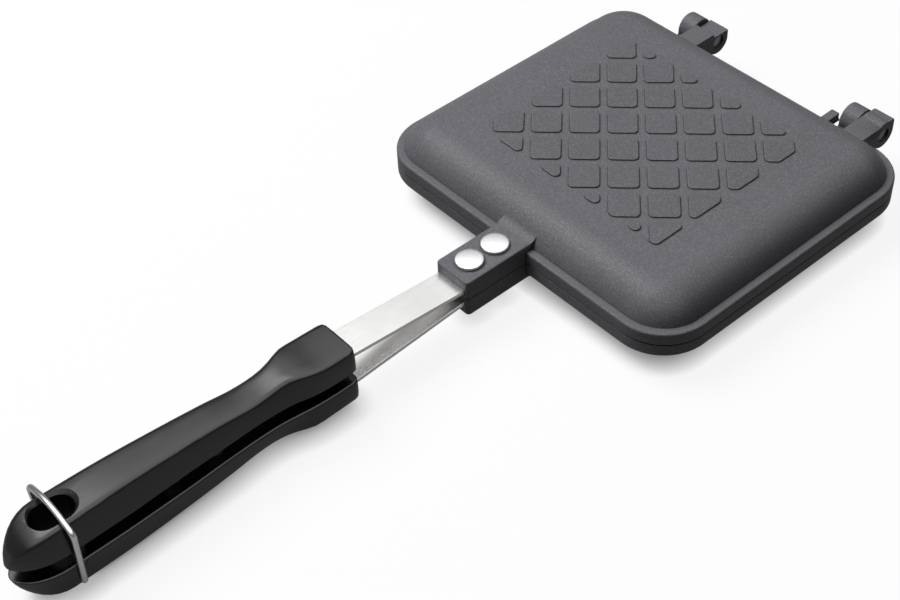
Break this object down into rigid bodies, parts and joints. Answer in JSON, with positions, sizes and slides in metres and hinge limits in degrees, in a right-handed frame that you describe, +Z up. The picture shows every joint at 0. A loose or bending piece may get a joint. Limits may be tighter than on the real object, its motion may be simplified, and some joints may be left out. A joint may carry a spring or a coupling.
{
  "type": "pie iron",
  "caption": "Square double-sided stove-top toasting pan: two hinged cast halves with padded faces, riveted flat arms, moulded two-part grip and a wire bail latch.",
  "frame": {"origin": "under the middle of the lower pan, on the plane of its raised pads, which is the surface that the iron stands on", "axes": "+Z up, +Y from the handle towards the hinges, +X along the hinge line"},
  "size_m": [0.145, 0.3407, 0.0333],
  "materials": {
    "cast_coating": "die-cast aluminium with a dark grey matt non-stick coating, fine sparkle",
    "moulded_grip": "black compression-moulded phenolic, semi-gloss",
    "strip_steel": "stainless strip, satin",
    "rivet_aluminium": "bright aluminium",
    "pin_steel": "plain steel",
    "bail_wire": "plated spring wire"
  },
  "bodies": {
    "lower_half": {"lower_pan": "cast_coating", "left_hinge_pin": "pin_steel", "right_hinge_pin": "pin_steel", "lower_arm": "strip_steel", "lower_front_rivet": "rivet_aluminium", "lower_rear_rivet": "rivet_aluminium", "lower_grip": "moulded_grip", "lower_front_screw": "pin_steel", "lower_rear_screw": "pin_steel"},
    "upper_half": {"upper_pan": "cast_coating", "upper_arm": "strip_steel", "upper_front_rivet": "rivet_aluminium", "upper_rear_rivet": "rivet_aluminium", "upper_grip": "moulded_grip", "upper_front_screw": "pin_steel", "upper_rear_screw": "pin_steel"},
    "bail_wire": {"bail": "bail_wire"}
  },
  "joints": [
    {"name": "lid_hinge", "type": "hinge", "parent": "lower_half", "child": "upper_half", "pos_m": [0, 0.0725, 0.0197], "axis": [-1, 0, 0], "range_deg": [0, 180]},
    {"name": "bail_swing", "type": "hinge", "parent": "lower_half", "child": "bail_wire", "pos_m": [0, -0.2448, 0.0044], "axis": [1, 0, 0], "range_deg": [0, 95]}
  ]
}
